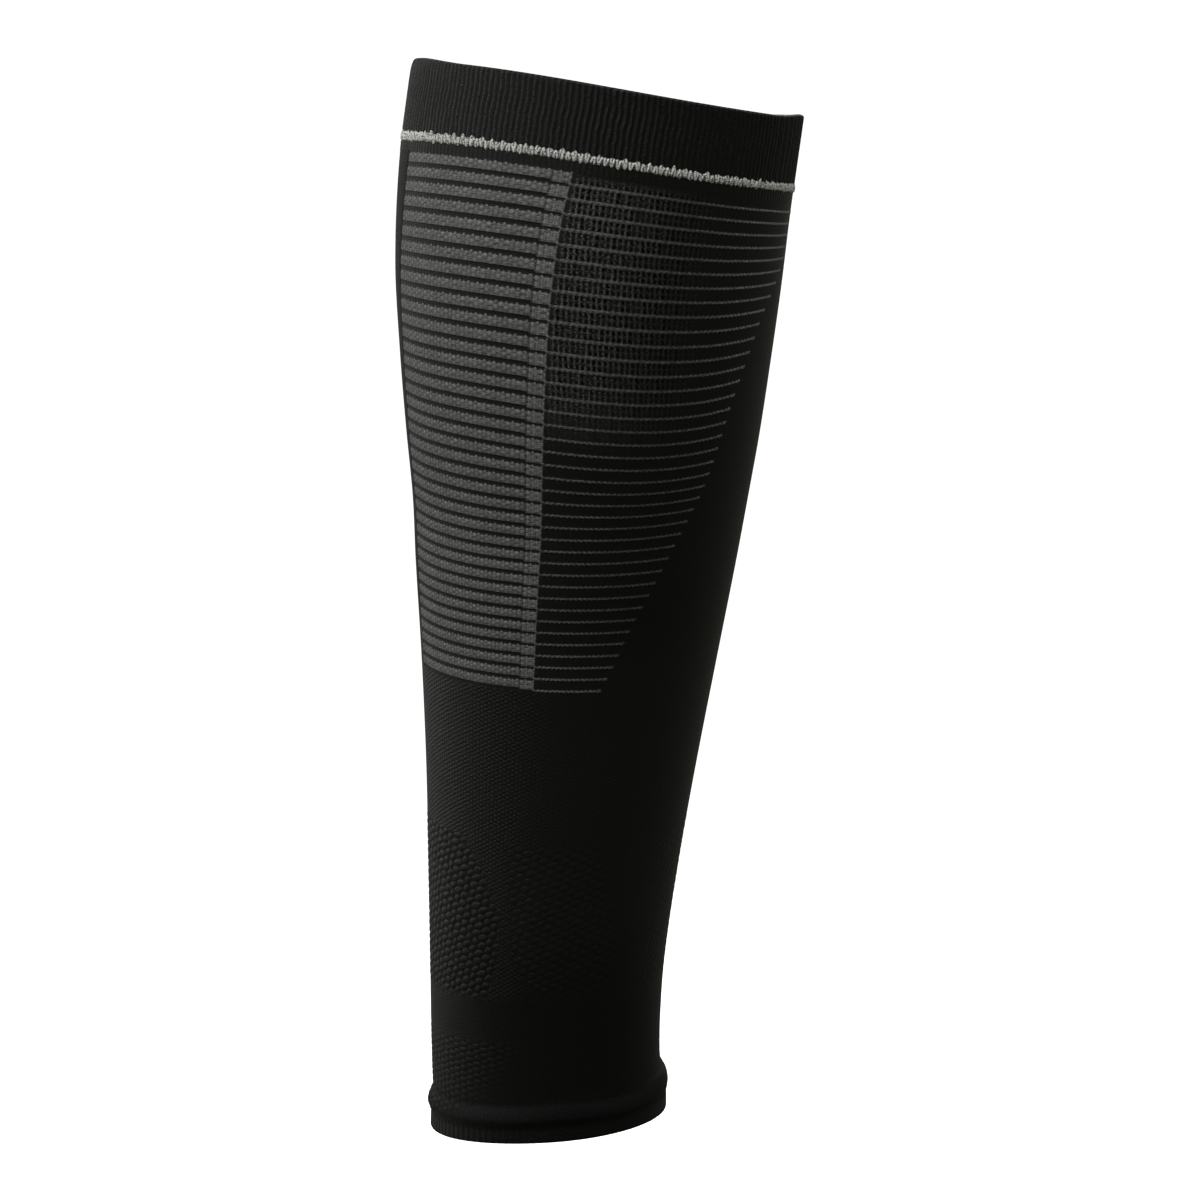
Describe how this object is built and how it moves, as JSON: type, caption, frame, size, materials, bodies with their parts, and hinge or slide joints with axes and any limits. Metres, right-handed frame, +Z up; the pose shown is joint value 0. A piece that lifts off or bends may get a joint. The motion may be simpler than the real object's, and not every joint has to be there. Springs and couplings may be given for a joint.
{
  "type": "compression sleeve",
  "caption": "Tapered knitted calf sleeve, open at knee and ankle, with a ribbed top cuff, a light accent ring, a graduated tube and a rolled, ribbed ankle hem.",
  "frame": {"origin": "centre of the ankle opening, in the plane of the hem, where the sleeve sits on the leg", "axes": "+Z up the leg from ankle to knee, +X to the right of the front view, -Y to the front"},
  "size_m": [0.1209, 0.1166, 0.3274],
  "materials": {
    "rib_knit": "matt black rib knit in elastic yarn",
    "light_yarn": "light grey heathered yarn, matt",
    "black_knit": "matt black compression knit with dark grey stripes"
  },
  "bodies": {
    "root": {"top_cuff": "rib_knit", "accent_stripe": "light_yarn", "calf_tube": "black_knit", "ankle_cuff": "rib_knit"}
  },
  "joints": []
}
